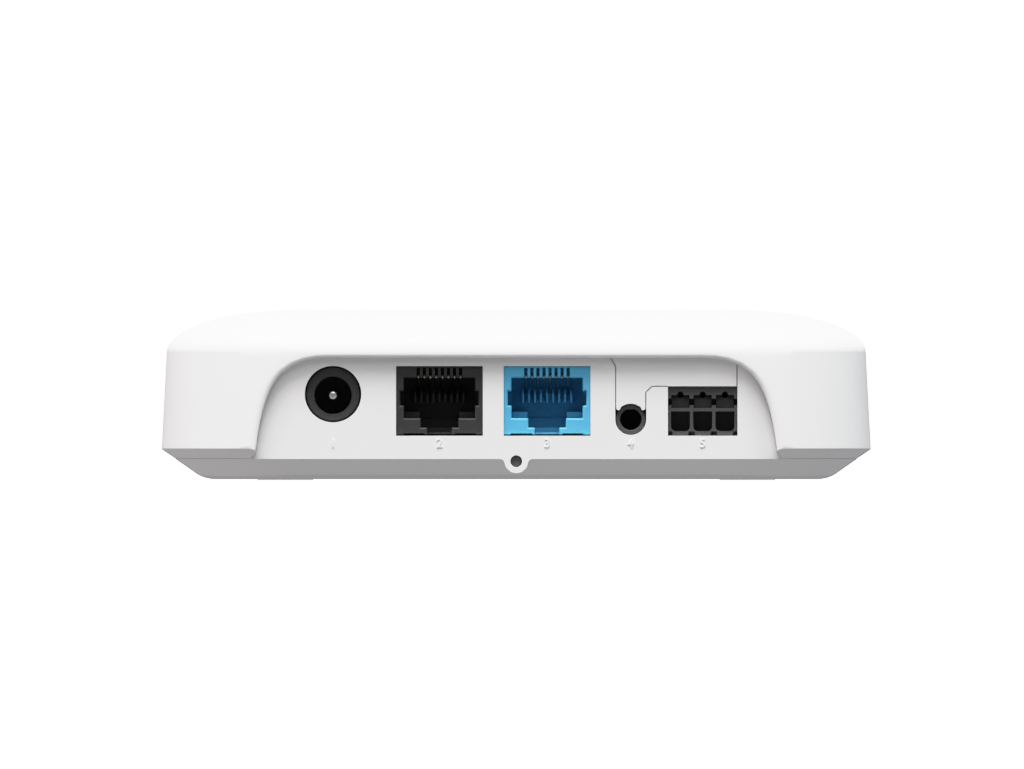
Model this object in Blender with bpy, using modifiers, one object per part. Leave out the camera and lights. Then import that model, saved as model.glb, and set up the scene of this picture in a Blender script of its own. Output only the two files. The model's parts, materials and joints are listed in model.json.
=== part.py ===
"""Irrigation controller: a white hub with its ports in an arched recess.

Lengths below are in millimetres and are turned into metres by MM when a shape
is made. The ports face -Y, +X is to the right of someone who faces them, and
the origin is under the middle of the hub, on the surface that it stands on.
"""
import math

import bmesh
import bpy
from mathutils import Matrix, Vector

MM = 0.001

# The hub's outline and its levels
HALF_WIDTH = 59.75          # middle to the widest line, the same on all four sides
CORNER_RADIUS = 22.75       # of the widest line
CORNER_STEPS = 8
FOOT_STAND = 0.2            # how far the feet hold the tray up
RIM_LEVEL = 3.6             # the seam between tray and cover
WIDEST_LEVEL = 5.3
WALL_TOP_LEVEL = 21.4
DOME_RISE = 7.15
DOME_RUN = 21.5
DOME_STEPS = 8
WALL_DRAFT = 0.85           # how far the wall leans in up to its top
RIM_INSET = 2.3             # the tray's rim and port panel, inside the widest line
COVER_WALL = 2.3
GAP = 0.3                   # kept between neighbouring pieces

# The cover's inside
BOSS_TOP = 27.2
ARCH_CUT_DEPTH = 3.0        # how far behind the panel the arch is cut
RELIEF_DEPTH = 6.0          # room behind the panel for its edges

# Planes that cutters start from, well outside the hub
OUTSIDE = -75.0
BEFORE_PORTS = -60.0
BEHIND_PANEL = -53.0

# The tray
FLOOR_TOP = 2.2
TRAY_FLAT_INSET = 8.2
TRAY_PROFILE = ((-1.0, 0.2), (-4.75, 2.85), (-0.15, 0.2))   # steps outwards and upwards
TRAY_RIM_TOP = FOOT_STAND + sum(rise for _, rise in TRAY_PROFILE)
TRAY_HOLLOW_INSET = 8.4
TRAY_HOLLOW_STEPS = ((-3.4, 1.6), (0.0, 6.0))
UPSTAND_INSET = 4.0
UPSTAND_HEIGHT = 2.6
STANDOFF_RADIUS = 2.6
STANDOFF_HOLE_RADIUS = 1.2
STANDOFF_HOLE_BOTTOM = 1.4
PANEL_THICKNESS = 2.0
PANEL_HALF_WIDTH = 45.9
PANEL_TOP = 21.9
PANEL_FACE = -(HALF_WIDTH - RIM_INSET)
PANEL_BACK = PANEL_FACE + PANEL_THICKNESS

# The arch in the cover
ARCH_FOOT_HALF = 43.87
ARCH_TOP_HALF = 32.0
ARCH_TOP_LEVEL = 20.54
ARCH_LEAN = math.radians(7)
ARCH_FOOT_HANDLE = 10.5
ARCH_TOP_HANDLE = 8.0
ARCH_EDGE_STEP = 0.495      # a small rebate stands for the arch's round edge

# The board
BOARD_TOP = 7.15
BOARD_THICKNESS = 1.6
BOARD_BOTTOM = BOARD_TOP - BOARD_THICKNESS
ON_BOARD = BOARD_TOP + GAP
BOARD_HALF_WIDTH = 50.0
BOARD_FRONT = -52.5
BOARD_REAR = 48.0

# Feet, case screws and the bosses that share their axes
FOOT_SPACING = 38.9
FOOT_RADIUS = 4.75
FOOT_TOP = 1.0
FOOT_POCKET_TOP = 1.3
SCREW_HEAD_RADIUS = 2.8
SCREW_HEAD_TOP = 2.9
SCREW_LEDGE = 3.2
SCREW_RADIUS = 1.4
SCREW_TIP = 13.0
BOSS_RADIUS = 3.6
STANDOFFS = ((-45.0, 5.0), (45.0, 5.0), (-22.0, 40.0), (22.0, 40.0))

# Ports, as (x, z) of their middles in the panel's face
PORT_FACE = PANEL_FACE + 0.55
POWER_AT = (-30.85, 14.46)
POWER_HOLE_RADIUS = 4.75
POWER_BORE_RADIUS = 3.15
POWER_BORE_DROP = 0.19
POWER_PIN_RADIUS = 1.0
NETWORK_X = -12.94
VALVE_X = 5.18
JACK_WINDOW = (14.6, 7.46, 19.18)       # width, bottom, top
SENSE_AT = (19.27, 10.2)
SENSE_SLOT_RADIUS = 2.6
SENSE_BARREL_RADIUS = 2.3
SENSE_BORE_RADIUS = 1.8
TERMINAL_X = 31.38
TERMINAL_WINDOW = (11.7, 7.47, 15.64)   # width, bottom, top
POLE_PITCH = 3.75
CONTACT_PITCH = 1.016

# The reset button in the lobe
LOBE_LEVEL = 3.17
LOBE_RADIUS = 2.0
LOBE_REAR = -53.4
RESET_HOLE_RADIUS = 0.98
RESET_RADIUS = 0.68
RESET_FRONT = PANEL_FACE + 0.7
RESET_REAR = -51.6
RESET_FLANGE = (-52.9, -52.1)
RESET_FLANGE_RADIUS = 1.15
RESET_FLANGE_POCKET = (-53.3, -50.3)
RESET_FLANGE_POCKET_RADIUS = 1.45
PLUNGER_LEVEL = LOBE_LEVEL + 0.6
PLUNGER_RADIUS = 0.7

# The lamp and its light pipe, on the far side
LAMP_LEVEL = 9.2
LIGHT_PIPE_RADIUS = 1.3
LIGHT_PIPE_HOLE_RADIUS = 1.7
LIGHT_PIPE_FLANGE = (55.9, 57.0)
LIGHT_PIPE_FLANGE_RADIUS = 2.2

COLOURS = {
    "white_shell": ((0.86, 0.86, 0.86), 0.45, 0.0),
    "dark_plastic": ((0.02, 0.02, 0.021), 0.5, 0.0),
    "blue_plastic": ((0.06, 0.36, 0.66), 0.45, 0.0),
    "grey_plastic": ((0.09, 0.09, 0.09), 0.5, 0.0),
    "foot_rubber": ((0.18, 0.18, 0.18), 0.85, 0.0),
    "plated_metal": ((0.75, 0.73, 0.68), 0.3, 1.0),
    "steel": ((0.55, 0.55, 0.56), 0.35, 1.0),
    "board_green": ((0.02, 0.13, 0.05), 0.5, 0.0),
    "clear_plastic": ((0.8, 0.82, 0.85), 0.2, 0.0),
}


def clear_scene():
    for thing in list(bpy.data.objects):
        bpy.data.objects.remove(thing, do_unlink=True)


def new_collection(name):
    collection = bpy.data.collections.new(name)
    bpy.context.scene.collection.children.link(collection)
    return collection


def make_materials():
    materials = {}
    for name, (colour, roughness, metallic) in COLOURS.items():
        material = bpy.data.materials.new(name)
        material.use_nodes = True
        shader = material.node_tree.nodes["Principled BSDF"]
        shader.inputs["Base Color"].default_value = (*colour, 1.0)
        shader.inputs["Roughness"].default_value = roughness
        shader.inputs["Metallic"].default_value = metallic
        materials[name] = material
    return materials


clear_scene()
PARTS = new_collection("irrigation_controller")
CUTTERS = new_collection("cutters")
MATERIALS = make_materials()
ROOT = bpy.data.objects.new("irrigation_controller", None)
PARTS.objects.link(ROOT)


def move_to(thing, collection):
    for owner in list(thing.users_collection):
        owner.objects.unlink(thing)
    collection.objects.link(thing)


def as_part(thing, name, material):
    """Name a finished shape, give it its material and hang it on the root."""
    thing.name = name
    thing.data.name = name
    thing.data.materials.clear()
    thing.data.materials.append(MATERIALS[material])
    move_to(thing, PARTS)
    thing.parent = ROOT
    return thing


def as_cutter(thing, name):
    thing.name = name
    move_to(thing, CUTTERS)
    thing.hide_render = True
    thing.display_type = 'WIRE'
    return thing


def boolean(thing, tool, operation):
    as_cutter(tool, f"{thing.name}_tool_{len(thing.modifiers)}")
    modifier = thing.modifiers.new(operation.lower(), 'BOOLEAN')
    modifier.operation = operation
    modifier.solver = 'EXACT'
    modifier.object = tool
    return thing


def cut(thing, *tools):
    for tool in tools:
        boolean(thing, tool, 'DIFFERENCE')
    return thing


def join(thing, *others):
    for other in others:
        boolean(thing, other, 'UNION')
    return thing


def box(x_range, y_range, z_range):
    low = Vector((x_range[0], y_range[0], z_range[0])) * MM
    high = Vector((x_range[1], y_range[1], z_range[1])) * MM
    bpy.ops.mesh.primitive_cube_add(size=1, location=(low + high) / 2)
    thing = bpy.context.object
    thing.scale = high - low
    bpy.ops.object.transform_apply(location=False, rotation=False, scale=True)
    return thing


def rod(x, y, z_range, radius, sides=24):
    """A round standing along the Z axis."""
    length = z_range[1] - z_range[0]
    bpy.ops.mesh.primitive_cylinder_add(
        vertices=sides,
        radius=radius * MM,
        depth=length * MM,
        location=Vector((x, y, (z_range[0] + z_range[1]) / 2)) * MM,
    )
    thing = bpy.context.object
    thing.data.shade_smooth()
    thing.data.set_sharp_from_angle(angle=math.radians(40))
    return thing


def pin(x, z, y_range, radius, sides=24):
    """A round lying along the Y axis, with its origin on its own axis."""
    thing = rod(0, 0, (-y_range[1], -y_range[0]), radius, sides)
    middle = (y_range[0] + y_range[1]) / 2
    thing.location = (0, 0, 0)
    thing.data.transform(Matrix.Rotation(math.radians(90), 4, 'X'))
    thing.location = Vector((x, middle, z)) * MM
    return thing


def plate(points, y_range):
    """A flat outline of (x, z) points, as thick as y_range is long."""
    curve = bpy.data.curves.new("outline", 'CURVE')
    curve.dimensions = '2D'
    curve.fill_mode = 'BOTH'
    curve.extrude = (y_range[1] - y_range[0]) / 2 * MM
    spline = curve.splines.new('POLY')
    spline.points.add(len(points) - 1)
    for point, (x, z) in zip(spline.points, points):
        point.co = (x * MM, z * MM, 0, 1)
    spline.use_cyclic_u = True
    outline = bpy.data.objects.new("outline", curve)
    CUTTERS.objects.link(outline)
    outline.rotation_euler.x = math.radians(90)
    outline.location.y = (y_range[0] + y_range[1]) / 2 * MM
    bpy.context.view_layer.update()
    evaluated = outline.evaluated_get(bpy.context.evaluated_depsgraph_get())
    mesh = bpy.data.meshes.new_from_object(evaluated)
    thing = bpy.data.objects.new("plate", mesh)
    CUTTERS.objects.link(thing)
    thing.matrix_world = outline.matrix_world
    shape = bmesh.new()
    shape.from_mesh(mesh)
    bmesh.ops.remove_doubles(shape, verts=shape.verts, dist=0.001 * MM)
    bmesh.ops.recalc_face_normals(shape, faces=shape.faces)
    shape.to_mesh(mesh)
    shape.free()
    bpy.data.objects.remove(outline)
    return thing


def stack(half_width, corner_radius, level, steps, open_below=False):
    """A rounded square at one level, carried inwards and upwards step by step.

    Each step is (how far in, how far up). The starting face stays as the top
    of the form; a second one closes it below unless it is left open.
    """
    shape = bmesh.new()
    bmesh.ops.create_grid(shape, x_segments=1, y_segments=1, size=half_width * MM)
    bmesh.ops.bevel(
        shape,
        geom=shape.verts[:],
        offset=corner_radius * MM,
        segments=CORNER_STEPS,
        profile=0.5,
        affect='VERTICES',
    )
    shape.faces.ensure_lookup_table()
    top = shape.faces[0]
    shape.normal_update()
    if top.normal.z < 0:
        top.normal_flip()
    for inwards, upwards in steps:
        bmesh.ops.inset_individual(
            shape,
            faces=[top],
            thickness=inwards * MM,
            depth=upwards * MM,
            use_even_offset=True,
        )
    if not open_below:
        border = [edge for edge in shape.edges if edge.is_boundary]
        bmesh.ops.contextual_create(shape, geom=border)
    bmesh.ops.recalc_face_normals(shape, faces=shape.faces)
    if top.normal.z < 0:
        bmesh.ops.reverse_faces(shape, faces=shape.faces)
    mesh = bpy.data.meshes.new("stack")
    shape.to_mesh(mesh)
    shape.free()
    thing = bpy.data.objects.new("stack", mesh)
    thing.location.z = level * MM
    CUTTERS.objects.link(thing)
    return thing


def prism(inset, z_range):
    """A rounded square block whose wall is inset from the widest line."""
    return stack(
        HALF_WIDTH - inset,
        CORNER_RADIUS - inset,
        z_range[0],
        [(0.0, z_range[1] - z_range[0])],
    )


def corner_places():
    return [(side * FOOT_SPACING, end * FOOT_SPACING) for end in (-1, 1) for side in (-1, 1)]


def arch_outline(spread=0.0, foot_level=0.0):
    """The arch's (x, z) outline, from its left foot over the top to its right."""
    foot = Vector((ARCH_FOOT_HALF, WIDEST_LEVEL))
    crown = Vector((ARCH_TOP_HALF, ARCH_TOP_LEVEL))
    up = Vector((-math.sin(ARCH_LEAN), math.cos(ARCH_LEAN)))
    handle_a = foot + up * ARCH_FOOT_HANDLE
    handle_b = crown + Vector((ARCH_TOP_HANDLE, 0))
    steps = 10
    right = []
    for step in range(steps + 1):
        t = step / steps
        point = (
            foot * (1 - t) ** 3
            + handle_a * 3 * t * (1 - t) ** 2
            + handle_b * 3 * t * t * (1 - t)
            + crown * t ** 3
        )
        slope = (
            (handle_a - foot) * (1 - t) ** 2
            + (handle_b - handle_a) * 2 * t * (1 - t)
            + (crown - handle_b) * t * t
        ).normalized()
        outwards = Vector((slope.y, -slope.x))
        right.append(point + outwards * spread)
    right.insert(0, Vector((ARCH_FOOT_HALF + spread, foot_level)))
    left = [Vector((-point.x, point.y)) for point in right]
    return [tuple(point) for point in left] + [tuple(point) for point in reversed(right)]


def make_cover():
    dome = []
    for step in range(DOME_STEPS):
        low = math.pi / 2 * step / DOME_STEPS
        high = math.pi / 2 * (step + 1) / DOME_STEPS
        inwards = DOME_RUN * (math.cos(low) - math.cos(high))
        upwards = DOME_RISE * (math.sin(high) - math.sin(low))
        dome.append((inwards, upwards))
    lip = (-RIM_INSET, WIDEST_LEVEL - RIM_LEVEL)
    wall = (WALL_DRAFT, WALL_TOP_LEVEL - WIDEST_LEVEL)
    cover = stack(
        HALF_WIDTH - RIM_INSET,
        CORNER_RADIUS - RIM_INSET,
        RIM_LEVEL,
        [lip, wall] + dome,
        open_below=True,
    )
    as_part(cover, "top_cover", "white_shell")
    shell = cover.modifiers.new("wall", 'SOLIDIFY')
    shell.thickness = COVER_WALL * MM
    shell.offset = -1
    shell.use_even_offset = True

    cut(cover, plate(arch_outline(), (OUTSIDE, PANEL_BACK + ARCH_CUT_DEPTH)))
    edge_front = -HALF_WIDTH + WALL_DRAFT
    cut(cover, plate(arch_outline(ARCH_EDGE_STEP), (OUTSIDE, edge_front + ARCH_EDGE_STEP)))
    relief = prism(RIM_INSET - GAP, (FOOT_TOP, PANEL_TOP + GAP))
    side = PANEL_HALF_WIDTH + GAP
    relief_range = box((-side, side), (OUTSIDE, PANEL_BACK + RELIEF_DEPTH), (FLOOR_TOP, PANEL_TOP + 1))
    modifier = relief.modifiers.new("front", 'BOOLEAN')
    modifier.operation = 'INTERSECT'
    modifier.solver = 'EXACT'
    modifier.object = as_cutter(relief_range, "relief_range")
    cut(cover, relief)
    for x, y in corner_places():
        join(cover, rod(x, y, (ON_BOARD, BOSS_TOP), BOSS_RADIUS, 20))
        cut(cover, rod(x, y, (ON_BOARD - 1, SCREW_TIP + 0.5), SCREW_RADIUS + GAP, 12))

    cut(cover, pin(0, LAMP_LEVEL, (54, 64), LIGHT_PIPE_HOLE_RADIUS, 16))


def sense_and_terminal_opening():
    """The notch in the panel that the port insert closes from above."""
    x, z = SENSE_AT
    points = [(15.2, PANEL_TOP + 2), (15.88, 20.54), (x - SENSE_SLOT_RADIUS, 19.07)]
    for step in range(13):
        angle = math.pi + math.pi * step / 12
        points.append((x + SENSE_SLOT_RADIUS * math.cos(angle), z + SENSE_SLOT_RADIUS * math.sin(angle)))
    width, bottom, top = TERMINAL_WINDOW
    left = TERMINAL_X - width / 2
    right = TERMINAL_X + width / 2
    ledge = top - 0.15
    points += [(x + SENSE_SLOT_RADIUS, 14.7), (x + SENSE_SLOT_RADIUS + 0.95, ledge), (left, ledge)]
    points += [(left, bottom), (right, bottom), (right, 19.26), (right + 0.45, 19.9)]
    points += [(right + 0.45, PANEL_TOP + 2)]
    return points


def make_insert():
    x, z = SENSE_AT
    inner = SENSE_SLOT_RADIUS - GAP
    reach = SENSE_BARREL_RADIUS + GAP
    width, bottom, top = TERMINAL_WINDOW
    right = TERMINAL_X + width / 2 - GAP
    lower = top + 0.15
    points = [(15.95, PANEL_TOP), (16.2, 20.6), (x - inner, 19.15), (x - inner, 12.1)]
    for step in range(7):
        angle = math.radians(150 - 20 * step)
        points.append((x + reach * math.cos(angle), z + reach * math.sin(angle)))
    points += [(x + inner, 12.1), (x + inner, 14.85), (x + SENSE_SLOT_RADIUS + 0.8, lower)]
    points += [(right, lower), (right, 19.3), (right + 0.45, 19.95), (right + 0.45, PANEL_TOP)]
    as_part(plate(points, (PANEL_FACE, PANEL_BACK)), "port_insert", "white_shell")


def make_port_panel():
    """The upright panel, whose face follows the rim's outline."""
    panel = prism(RIM_INSET, (TRAY_RIM_TOP - 0.6, PANEL_TOP))
    as_cutter(panel, "panel_block")
    cut(panel, prism(RIM_INSET + PANEL_THICKNESS, (TRAY_RIM_TOP - 2, PANEL_TOP + 2)))
    front = box(
        (-PANEL_HALF_WIDTH, PANEL_HALF_WIDTH),
        (OUTSIDE, -HALF_WIDTH + CORNER_RADIUS - 4),
        (TRAY_RIM_TOP - 2, PANEL_TOP + 1),
    )
    modifier = panel.modifiers.new("front", 'BOOLEAN')
    modifier.operation = 'INTERSECT'
    modifier.solver = 'EXACT'
    modifier.object = as_cutter(front, "panel_range")
    return panel


def make_tray():
    tray = stack(
        HALF_WIDTH - TRAY_FLAT_INSET, CORNER_RADIUS - TRAY_FLAT_INSET, FOOT_STAND, list(TRAY_PROFILE)
    )
    as_part(tray, "base_tray", "white_shell")
    hollow = stack(
        HALF_WIDTH - TRAY_HOLLOW_INSET,
        CORNER_RADIUS - TRAY_HOLLOW_INSET,
        FLOOR_TOP,
        list(TRAY_HOLLOW_STEPS),
    )
    join(tray, prism(UPSTAND_INSET, (TRAY_RIM_TOP - 1.0, TRAY_RIM_TOP + UPSTAND_HEIGHT)))
    cut(tray, hollow)
    join(tray, make_port_panel())
    join(tray, pin(0, LOBE_LEVEL, (PANEL_FACE, LOBE_REAR), LOBE_RADIUS, 24))

    for x, y in corner_places():
        join(tray, rod(x, y, (FLOOR_TOP - 0.5, BOARD_BOTTOM - GAP), BOSS_RADIUS + 0.6, 20))
        pocket = rod(x, y, (FOOT_STAND - 1, FOOT_POCKET_TOP), FOOT_RADIUS + GAP, 24)
        head = rod(x, y, (FOOT_STAND - 1, SCREW_LEDGE), SCREW_HEAD_RADIUS + GAP, 20)
        hole = rod(x, y, (FOOT_STAND - 1, BOARD_TOP), SCREW_RADIUS + GAP, 12)
        cut(tray, pocket, head, hole)
    for x, y in STANDOFFS:
        join(tray, rod(x, y, (FLOOR_TOP - 0.5, BOARD_BOTTOM - GAP), STANDOFF_RADIUS, 16))
        cut(tray, rod(x, y, (STANDOFF_HOLE_BOTTOM, BOARD_TOP), STANDOFF_HOLE_RADIUS, 12))

    cut(tray, pin(*POWER_AT, (BEFORE_PORTS, BEHIND_PANEL), POWER_HOLE_RADIUS, 32))
    width, bottom, top = JACK_WINDOW
    for x in (NETWORK_X, VALVE_X):
        cut(tray, box((x - width / 2, x + width / 2), (BEFORE_PORTS, BEHIND_PANEL), (bottom, top)))
    cut(tray, plate(sense_and_terminal_opening(), (BEFORE_PORTS, BEHIND_PANEL)))
    cut(tray, pin(0, LOBE_LEVEL, (BEFORE_PORTS, RESET_FLANGE[1]), RESET_HOLE_RADIUS, 16))
    cut(tray, pin(0, LOBE_LEVEL, RESET_FLANGE_POCKET, RESET_FLANGE_POCKET_RADIUS, 16))


def make_feet_and_case_screws():
    names = ("port_left", "port_right", "far_left", "far_right")
    for name, (x, y) in zip(names, corner_places()):
        foot = rod(x, y, (0, FOOT_TOP), FOOT_RADIUS, 24)
        as_part(foot, f"foot_{name}", "foot_rubber")
        edge = foot.modifiers.new("edge", 'BEVEL')
        edge.width = 0.2 * MM
        edge.segments = 1
        edge.limit_method = 'ANGLE'
        screw = rod(x, y, (SCREW_HEAD_TOP - 1.3, SCREW_HEAD_TOP), SCREW_HEAD_RADIUS, 16)
        as_part(screw, f"case_screw_{name}", "steel")
        join(screw, rod(x, y, (SCREW_HEAD_TOP - 0.4, SCREW_TIP), SCREW_RADIUS, 12))
        cut(screw, cross_recess(x, y, SCREW_HEAD_TOP - 2.0, SCREW_HEAD_TOP - 0.5))


def cross_recess(x, y, low, high):
    """The cross in a screw's head, as one cutter."""
    arm = box((x - 1.4, x + 1.4), (y - 0.3, y + 0.3), (low, high))
    other = box((x - 0.3, x + 0.3), (y - 1.4, y + 1.4), (low, high))
    as_cutter(arm, "cross_arm")
    join(arm, other)
    return arm


def make_board_and_screws():
    radius = 18.0
    width = BOARD_HALF_WIDTH
    board = box((-width, width), (BOARD_FRONT, BOARD_REAR), (BOARD_BOTTOM, BOARD_TOP))
    shape = bmesh.new()
    shape.from_mesh(board.data)
    upright = [edge for edge in shape.edges if abs(edge.verts[0].co.z - edge.verts[1].co.z) > 0.5 * MM]
    bmesh.ops.bevel(shape, geom=upright, offset=radius * MM, segments=6, profile=0.5, affect='EDGES')
    shape.to_mesh(board.data)
    shape.free()
    as_part(board, "main_board", "board_green")
    for x, y in corner_places():
        cut(board, rod(x, y, (4, 9), 2.2, 16))
    for x, y in STANDOFFS:
        cut(board, rod(x, y, (4, 9), 1.3, 12))
    for number, (x, y) in enumerate(STANDOFFS, 1):
        screw = rod(x, y, (ON_BOARD, ON_BOARD + 1.5), 2.2, 16)
        as_part(screw, f"board_screw_{number}", "steel")
        join(screw, rod(x, y, (2.2, ON_BOARD + 0.4), 0.9, 12))
        cut(screw, cross_recess(x, y, ON_BOARD + 0.8, ON_BOARD + 2.5))


def make_power_jack():
    x, z = POWER_AT
    bore_z = z - POWER_BORE_DROP
    body = box((x - 4.6, x + 4.6), (PANEL_BACK + 0.35, -43.5), (ON_BOARD, 19.2))
    as_part(body, "power_jack_body", "dark_plastic")
    join(body, pin(x, z, (PANEL_FACE + 0.9, -53), POWER_HOLE_RADIUS - GAP, 32))
    cut(body, pin(x, bore_z, (BEFORE_PORTS, -46.2), POWER_BORE_RADIUS, 32))
    cut(body, pin(x, bore_z, (-48, -42), POWER_PIN_RADIUS + GAP, 16))
    cut(body, box((x - 1.5, x + 1.5), (-53.5, -42), (bore_z - 4.3, bore_z - 2.0)))
    centre = pin(x, bore_z, (-55.6, -44.0), POWER_PIN_RADIUS, 16)
    as_part(centre, "power_jack_pin", "plated_metal")
    tip = centre.modifiers.new("tip", 'BEVEL')
    tip.width = 0.5 * MM
    tip.segments = 2
    tip.limit_method = 'ANGLE'
    leaf = box((x - 1.2, x + 1.2), (-53.0, -43.2), (bore_z - 3.9, bore_z - 3.5))
    as_part(leaf, "power_jack_leaf", "plated_metal")
    rise = box((x - 1.2, x + 1.2), (-52.6, -51.0), (bore_z - 3.6, bore_z - 2.7))
    tail = box((x - 1.2, x + 1.2), (-43.2, -42.8), (ON_BOARD, bore_z - 3.5))
    join(leaf, rise, tail)


def make_modular_jack(name, x, material):
    """An eight-contact jack, latch side down, and the contacts on their carrier."""
    width, bottom, top = JACK_WINDOW
    half = width / 2 - GAP
    body = box((x - half, x + half), (PORT_FACE, -40.5), (bottom + GAP, top - GAP))
    as_part(body, f"{name}_jack_body", material)
    cut(body, box((x - 5.98, x + 5.98), (BEFORE_PORTS, -45.0), (10.4, 17.2)))
    cut(body, box((x - 6.6, x + 6.6), (BEFORE_PORTS, -53.5), (12.54, 14.96)))
    cut(body, box((x - 3.16, x + 3.16), (BEFORE_PORTS, -46.0), (8.82, 11.0)))
    cut(body, box((x - 2.07, x + 2.07), (BEFORE_PORTS, -53.0), (7.0, 9.5)))
    cut(body, box((x - 4.25, x + 4.25), (-54.0, -39.0), (16.0, 18.2)))
    slots = [CONTACT_PITCH * (number - 3.5) for number in range(8)]
    for offset in slots:
        cut(body, box((x + offset - 0.3, x + offset + 0.3), (BEFORE_PORTS, -53.0), (16.8, 18.5)))
    carrier = box((x - 3.95, x + 3.95), (-46.5, -40.9), (16.3, 17.9))
    as_part(carrier, f"{name}_jack_contacts", "plated_metal")
    for offset in slots:
        blade = box((x + offset - 0.2, x + offset + 0.2), (-55.3, -46.0), (16.55, 16.9))
        join(carrier, blade)
        spring = box((x + offset - 0.2, x + offset + 0.2), (-4.6, 4.6), (-0.15, 0.15))
        spring.rotation_euler.x = math.radians(-17)
        spring.location = Vector((x + offset, -50.85, 15.45)) * MM
        join(carrier, spring)


def make_sense_jack():
    x, z = SENSE_AT
    body = box((x - 3.2, x + 3.2), (PANEL_BACK + 0.35, -43.5), (ON_BOARD, 13.2))
    as_part(body, "sense_jack_body", "dark_plastic")
    join(body, pin(x, z, (PORT_FACE, -54), SENSE_BARREL_RADIUS, 24))
    cut(body, pin(x, z, (BEFORE_PORTS, -45.5), SENSE_BORE_RADIUS, 24))
    cut(body, box((x - 0.9, x + 0.9), (-51, -46.5), (z + 1.0, 14)))
    spring = box((x - 0.6, x + 0.6), (-50.7, -46.8), (12.3, 12.6))
    as_part(spring, "sense_jack_spring", "plated_metal")
    join(spring, box((x - 0.6, x + 0.6), (-49.4, -48.4), (11.5, 12.4)))


def funnel_outline(x):
    low = 8.23
    high = 11.5
    return [
        (x - 1.6, high), (x - 1.6, low + 1.0), (x - 1.1, low), (x + 1.1, low),
        (x + 1.6, low + 1.0), (x + 1.6, high),
    ]


def make_terminal():
    width, bottom, top = TERMINAL_WINDOW
    half = width / 2 - GAP
    x = TERMINAL_X
    body = box((x - half, x + half), (PORT_FACE, -44.5), (bottom + GAP, top - GAP))
    as_part(body, "terminal_body", "dark_plastic")
    cut(body, box((x - half - 1, x + half + 1), (BEFORE_PORTS, PORT_FACE + 0.9), (12.7, 13.8)))
    for number in range(3):
        pole = x + POLE_PITCH * (number - 1)
        cut(body, box((pole - 1.5, pole + 1.5), (BEFORE_PORTS, -50.0), (12.15, 14.3)))
        cut(body, pin(pole, 14.35, (BEFORE_PORTS, -52), 0.535, 12))
        cut(body, plate(funnel_outline(pole), (BEFORE_PORTS, -50.0)))
        cut(body, box((pole - 1.4, pole + 1.4), (-50.5, -43), (8.8, 14.0)))

        button = box((pole - 1.2, pole + 1.2), (PORT_FACE + 1.0, -51.2), (12.45, 13.5))
        as_part(button, f"terminal_button_{number + 1}", "dark_plastic")
        edge = button.modifiers.new("edge", 'BEVEL')
        edge.width = 0.12 * MM
        edge.segments = 1

        clamp = plate(clamp_outline(), (-1.0, 1.0))
        clamp.rotation_euler.z = math.radians(90)
        clamp.location = Vector((pole, 0, 0)) * MM
        bpy.context.view_layer.update()
        as_part(clamp, f"terminal_clamp_{number + 1}", "plated_metal")


def clamp_outline():
    """The bent clamp strip seen from the side, as (y, z) points."""
    return [
        (-49.6, 13.6), (-49.2, 13.6), (-49.2, 9.6), (-45.6, 9.6), (-45.6, 13.2),
        (-45.2, 13.2), (-45.2, 9.2), (-49.6, 9.2),
    ]


def make_reset():
    button = pin(0, LOBE_LEVEL, (RESET_FRONT, RESET_REAR), RESET_RADIUS, 16)
    as_part(button, "reset_button", "grey_plastic")
    join(button, pin(0, LOBE_LEVEL, RESET_FLANGE, RESET_FLANGE_RADIUS, 16))
    switch = box((-2.6, 2.6), (-50.0, -45.5), (FLOOR_TOP + GAP, BOARD_BOTTOM - GAP))
    as_part(switch, "reset_switch", "dark_plastic")
    cut(switch, pin(0, PLUNGER_LEVEL, (-51, -47.4), PLUNGER_RADIUS + GAP, 16))
    plunger = pin(0, PLUNGER_LEVEL, (-51.2, -48.4), PLUNGER_RADIUS, 16)
    as_part(plunger, "reset_plunger", "grey_plastic")


def make_lamp():
    pipe = pin(0, LAMP_LEVEL, (50.6, 59.2), LIGHT_PIPE_RADIUS, 16)
    as_part(pipe, "light_pipe", "clear_plastic")
    join(pipe, pin(0, LAMP_LEVEL, LIGHT_PIPE_FLANGE, LIGHT_PIPE_FLANGE_RADIUS, 16))
    lamp = box((-1.6, 1.6), (45.8, 50.0), (ON_BOARD, 10.4))
    as_part(lamp, "status_lamp", "clear_plastic")


def block(name, middle, size, material, bevel=0.3):
    """A component that stands on the board: middle (x, y), size (x, y, height)."""
    x, y = middle
    thing = box(
        (x - size[0] / 2, x + size[0] / 2),
        (y - size[1] / 2, y + size[1] / 2),
        (ON_BOARD, ON_BOARD + size[2]),
    )
    as_part(thing, name, material)
    edge = thing.modifiers.new("edge", 'BEVEL')
    edge.width = bevel * MM
    edge.segments = 1
    return thing


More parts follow.
